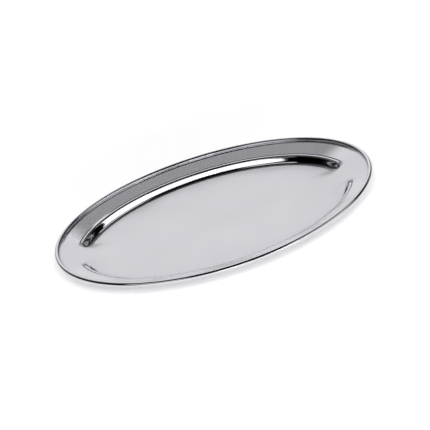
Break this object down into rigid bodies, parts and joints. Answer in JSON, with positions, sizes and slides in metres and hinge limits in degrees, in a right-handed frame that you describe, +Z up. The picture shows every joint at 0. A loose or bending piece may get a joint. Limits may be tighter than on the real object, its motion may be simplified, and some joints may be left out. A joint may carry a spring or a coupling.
{
  "type": "oval serving tray",
  "caption": "Oval stainless steel serving tray with a flat floor, stepped long sides, smooth end ramps, a broad rim and a wired curled edge.",
  "frame": {"origin": "on the surface the tray stands on, under the middle of the floor", "axes": "+X along the long axis of the oval, +Y across it, +Z up"},
  "size_m": [0.5, 0.35, 0.0285],
  "materials": {
    "tray_pressing": "polished stainless steel",
    "rim_wire": "drawn steel wire"
  },
  "bodies": {
    "root": {"tray_pressing": "tray_pressing", "rim_wire": "rim_wire"}
  },
  "joints": []
}
